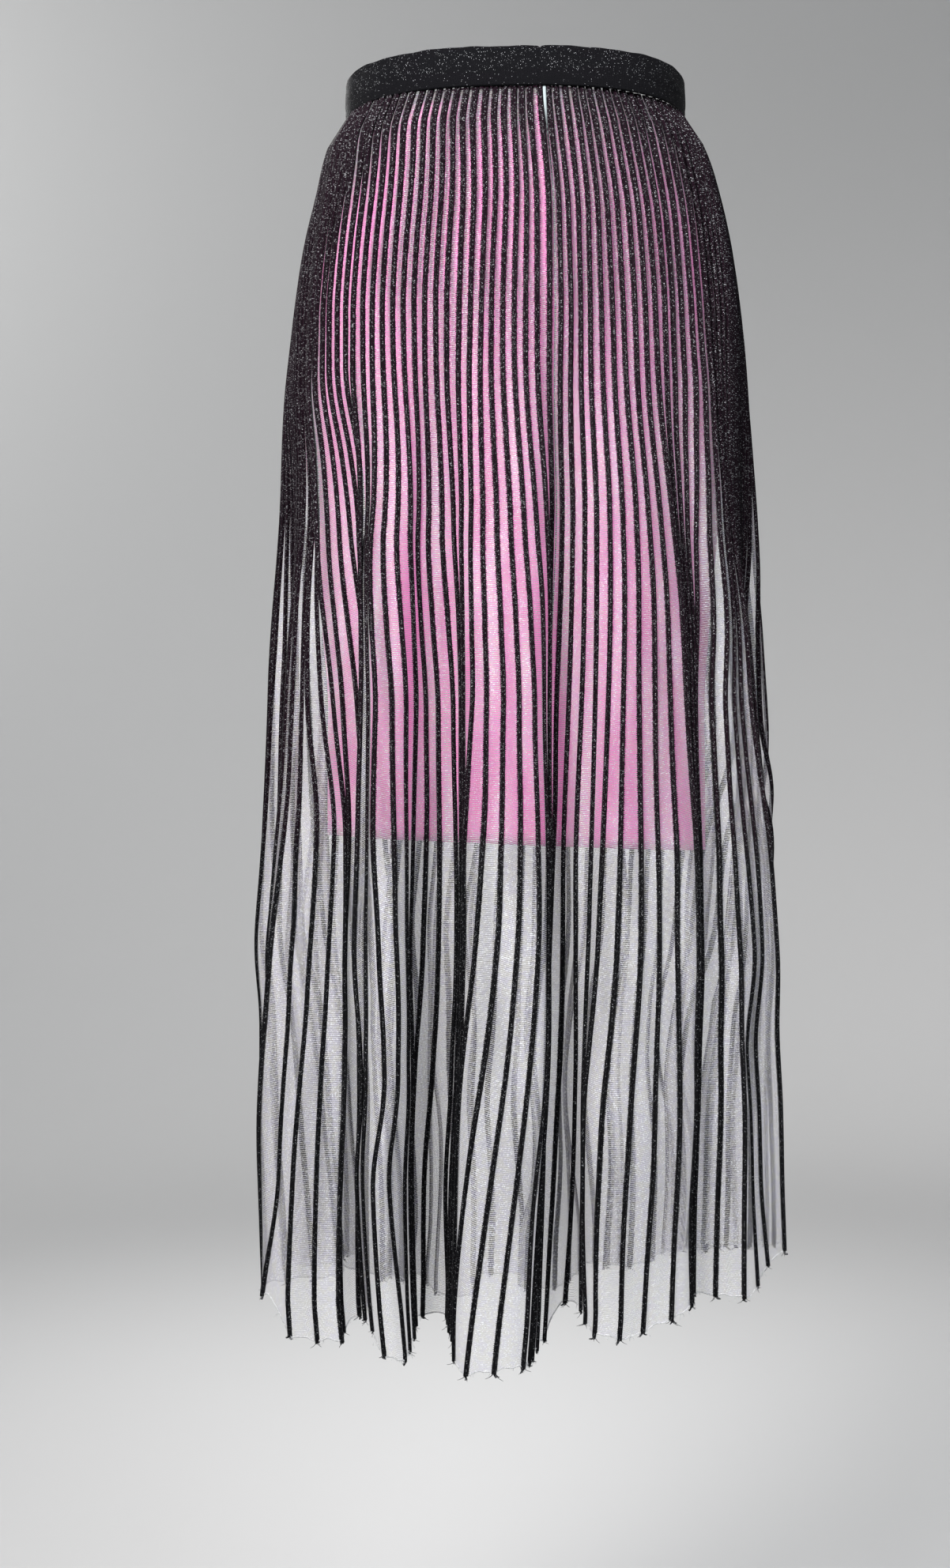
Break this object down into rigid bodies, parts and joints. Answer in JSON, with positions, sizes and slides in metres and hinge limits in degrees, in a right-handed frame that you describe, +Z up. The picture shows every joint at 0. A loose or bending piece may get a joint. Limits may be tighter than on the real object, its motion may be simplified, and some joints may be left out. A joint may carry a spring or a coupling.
{
  "type": "pleated midi skirt",
  "caption": "Long ribbed knit skirt with deep soft folds, a knitted waistband and a short slip inside, hollow and open at waist and hem.",
  "frame": {"origin": "centre of the waistband at half its height, on the axis of the wearer's waist", "axes": "+Z up; the side with the skirt's one seam faces -Y; +X to the right seen from that side"},
  "size_m": [0.3857, 0.3434, 0.9005],
  "materials": {
    "waistband": "black knit with fine metallic thread",
    "skirt": "sheer white knit with raised black metallic ribs",
    "slip": "plain matte pink knit"
  },
  "bodies": {
    "root": {"waistband": "waistband", "skirt": "skirt", "slip": "slip"}
  },
  "joints": []
}
